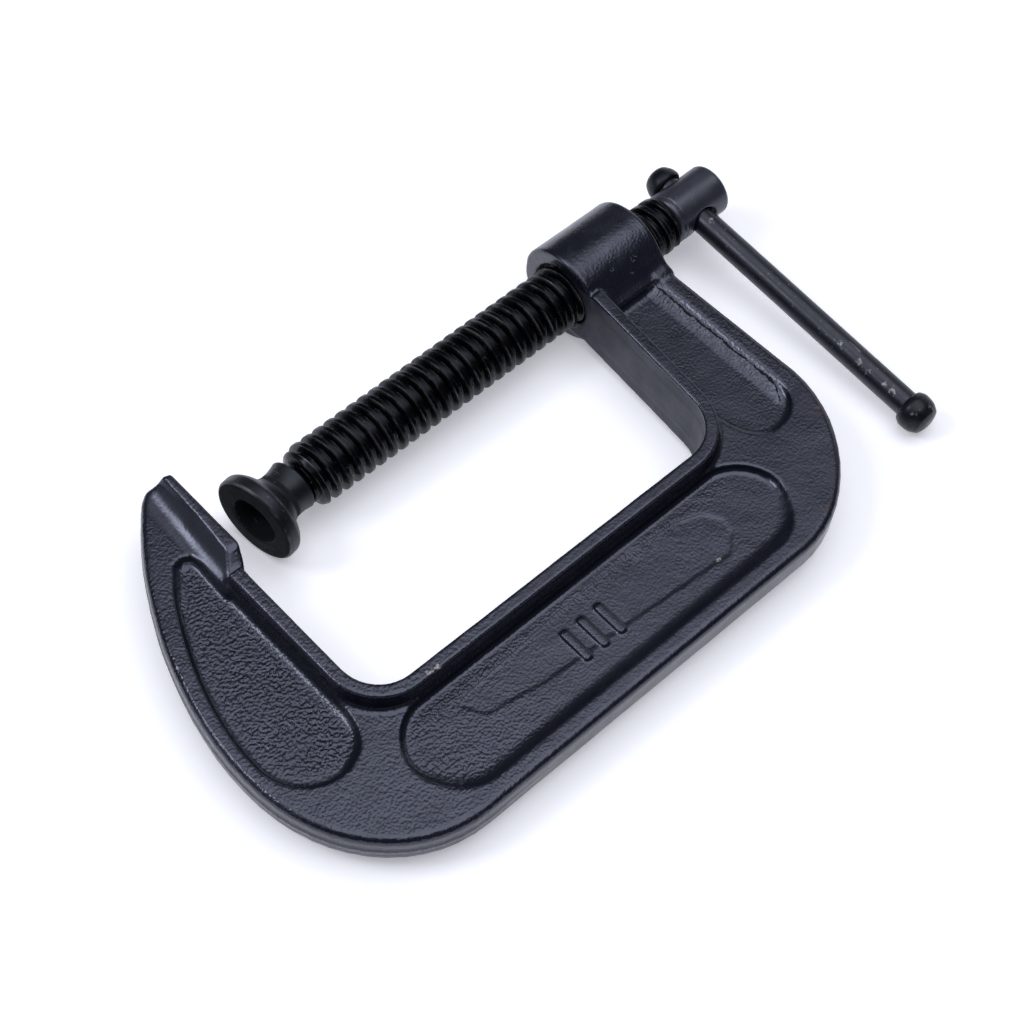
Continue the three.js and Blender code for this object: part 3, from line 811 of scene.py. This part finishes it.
def black_steel(name, roughness, level, specks, dark=1.0, scratch_axis=None, ridge=False, scuffs=()):
    """Blackened steel with handling scratches, scuffs and specks of bare metal.

    level is the specular level, specks how bare its specks are, dark a factor on its colour, and scratch_axis
    the scale of the scratches along each axis.
    """
    n = Nodes(name)
    tone = n.ramp(n.noise(90, 4), 0.3, 0.7)
    # dark scales the colour; the screw's thread and head use it for painted shade and painted light
    low, high = (Vector(colour) * dark for colour in BLACKENED)
    base = n.mix(tone, (*low, 1), (*high, 1))
    bare = n.ramp(n.noise(1500, 3), 0.66, 0.74, 0, specks)
    if scuffs:
        scuffed = n.math("MULTIPLY", spots(n, scuffs, 1.1), n.ramp(n.noise(1100, 3), 0.46, 0.6, 0, 0.8))
        bare = n.math("MAXIMUM", bare, scuffed)
    if scratch_axis is not None:
        stretch = n.add("ShaderNodeMapping", {"Vector": n.position(), "Scale": scratch_axis})
        marks = n.ramp(n.noise(1.0, 3, 0.6, stretch.outputs[0]), 0.66, 0.74, 0, 0.5)
        bare = n.math("MAXIMUM", bare, n.math("MULTIPLY", marks, n.ramp(n.noise(75, 2), 0.5, 0.62)))
    if ridge:
        worn = n.math("MULTIPLY", n.attribute("ridge"), n.ramp(n.noise(260, 4), 0.42, 0.68, 0.03, 0.55))
        bare = n.math("MAXIMUM", bare, worn)
    n.feed(n.shader, "Base Color", n.mix(bare, base, BARE_STEEL))
    n.feed(n.shader, "Metallic", n.ramp(bare, 0, 1, 0.1, 1.0))
    n.feed(n.shader, "Specular IOR Level", level)
    n.feed(n.shader, "Specular Tint", (0.82, 0.86, 1.0, 1))
    matt = n.ramp(n.noise(240, 4), 0.3, 0.7, roughness - 0.06, roughness + 0.07)
    n.feed(n.shader, "Roughness", n.math("ADD", matt, n.math("MULTIPLY", n.attribute("face"), 0.5)))
    relief = n.math("MULTIPLY", n.noise(1300, 3), 0.5)
    n.feed(n.shader, "Normal", n.bump(relief, 0.04, 0.5))
    return n.material


def floor_material():
    n = Nodes("paper_floor")
    tint = n.ramp(n.noise(3, 2), 0.3, 0.7)
    n.feed(n.shader, "Base Color", n.mix(tint, *FLOOR_TINTS))
    n.feed(n.shader, "Roughness", 0.75)
    n.feed(n.shader, "Normal", n.bump(n.noise(1500, 2), 0.02, 0.3))
    n.feed(n.shader, "Emission Color", FLOOR_GLOW[0])
    n.feed(n.shader, "Emission Strength", FLOOR_GLOW[1])
    return n.material


# ---------------------------------------------------------------- build

def place(piece, body, nodes, slot, material):
    piece.data.materials.append(material)
    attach(piece, body)
    if nodes:
        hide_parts(*nodes)


# One blackened steel in copies: the thread's is made far darker, as painted shade between its turns, and the
# head and tip's lighter, as painted light
thread_steel = black_steel("thread_black", 0.26, 0.2, 0.3, 0.2, ridge=True)
head_steel = black_steel("head_black", 0.36, 1.0, 0.6, 2.2, (900, 120, 120))
pad_steel = black_steel("pad_black", 0.42, 0.45, 0.4, 0.5, (1400, 160, 160), ridge=True)
bar_steel = black_steel("bar_black", 0.32, 0.55, 0.7, 1.0, (500, 90, 500), scuffs=BAR_SCUFFS)
knob_steel = black_steel("knob_black", 0.36, 0.35, 0.9, 0.5, scuffs=KNOB_SCUFFS)

place(casting_piece(), "frame", ["frame"], "painted_casting", painted_iron())
place(thread_piece(), "screw", ["clamp_screw"], "black_screw", thread_steel)
place(head_piece(), "screw", [], "black_screw", head_steel)
place(tip_piece(), "screw", [], "black_screw", head_steel)
place(pad_piece(), "pad", ["swivel_pad"], "black_pad", pad_steel)
place(bar_piece(), "bar", ["tommy_bar"], "black_bar", bar_steel)
place(far_knob(), "bar", ["bar_knob_far"], "black_bar", knob_steel)
place(near_knob(), "bar", ["bar_knob_near"], "black_bar", knob_steel)

# ---------------------------------------------------------------- stage

# The clamp rests on its boss, its pad and the bar's far knob, so the floor leans a little in the row frame.
FLOOR_UP = Vector((0.01176, 0.0389, 1)).normalized()
FLOOR_POINT = Vector((BOSS_START, 0, -BOSS_RADIUS - 0.15)) * MM
FLOOR_SIZE = 6.0
LIGHT_COLOUR = (0.93, 0.945, 1.0)
WORLD_COLOUR = (0.8, 0.86, 1.0, 1)
WORLD_STRENGTH = 0.06
# The photograph's view: the point it turns about, angles, distance and lens in millimetres
AIM = Vector((48.703, -33.393, 0)) * MM
AZIMUTH = math.radians(-48.353)
ELEVATION = math.radians(57.6)
ROLL = math.radians(6.359)
DISTANCE = 475.77 * MM
LENS = 82.91


def add_floor():
    half = FLOOR_SIZE / 2
    corners = [(-half, -half, 0), (half, -half, 0), (half, half, 0), (-half, half, 0)]
    mesh = bpy.data.meshes.new("floor")
    mesh.from_pydata(corners, [], [(0, 1, 2, 3)])
    floor = bpy.data.objects.new("floor", mesh)
    bpy.context.scene.collection.objects.link(floor)
    tilt = Vector((0, 0, 1)).rotation_difference(FLOOR_UP).to_matrix().to_4x4()
    floor.matrix_world = Matrix.Translation(FLOOR_POINT) @ tilt
    mesh.materials.append(floor_material())


def add_camera():
    """The camera looks at AIM; azimuth 0 looks along +Y."""
    level = math.cos(ELEVATION)
    forward = Vector((-math.sin(AZIMUTH) * level, math.cos(AZIMUTH) * level, -math.sin(ELEVATION)))
    level_right = forward.cross(Vector((0, 0, 1))).normalized()
    level_up = level_right.cross(forward)
    right = level_right * math.cos(ROLL) + level_up * math.sin(ROLL)
    up = level_up * math.cos(ROLL) - level_right * math.sin(ROLL)
    data = bpy.data.cameras.new("camera")
    data.lens = LENS
    data.clip_start = 0.01
    camera = bpy.data.objects.new("camera", data)
    bpy.context.scene.collection.objects.link(camera)
    turn = Matrix((right, up, -forward)).transposed().to_4x4()
    camera.matrix_world = Matrix.Translation(AIM - forward * DISTANCE) @ turn
    bpy.context.scene.camera = camera


def softbox(name, direction, distance, width, height, radiance):
    """A rectangular light that faces AIM, as bright as radiance."""
    data = bpy.data.lights.new(name, "AREA")
    data.shape = "RECTANGLE"
    data.size = width
    data.size_y = height
    data.energy = radiance * math.pi * width * height
    data.color = LIGHT_COLOUR
    lamp = bpy.data.objects.new(name, data)
    bpy.context.scene.collection.objects.link(lamp)
    towards = Vector(direction).normalized()
    turn = towards.to_track_quat("Z", "Y").to_matrix().to_4x4()
    lamp.matrix_world = Matrix.Translation(AIM + towards * distance) @ turn


def add_world():
    world = bpy.data.worlds.new("studio")
    world.use_nodes = True
    background = world.node_tree.nodes["Background"]
    background.inputs["Color"].default_value = WORLD_COLOUR
    background.inputs["Strength"].default_value = WORLD_STRENGTH
    bpy.context.scene.world = world


add_floor()
add_camera()
softbox("overhead_core", (0.12, -0.07, 1.0), 1.3, 1.05, 1.15, 1.25)
softbox("overhead_mid", (0.08, -0.03, 1.0), 1.31, 1.4, 1.45, 0.6)
softbox("overhead_wide", (0.02, 0.02, 1.0), 1.32, 2.0, 1.9, 0.55)
softbox("back_left", (-0.53, 0.42, 0.74), 1.2, 0.42, 0.38, 8.0)
softbox("right_wall", (0.92, 0.33, 0.30), 1.2, 1.1, 0.7, 0.8)
softbox("left_wall", (-0.85, 0.36, 0.45), 1.2, 0.7, 0.7, 0.35)
add_world()
bpy.context.scene.view_settings.view_transform = "Standard"
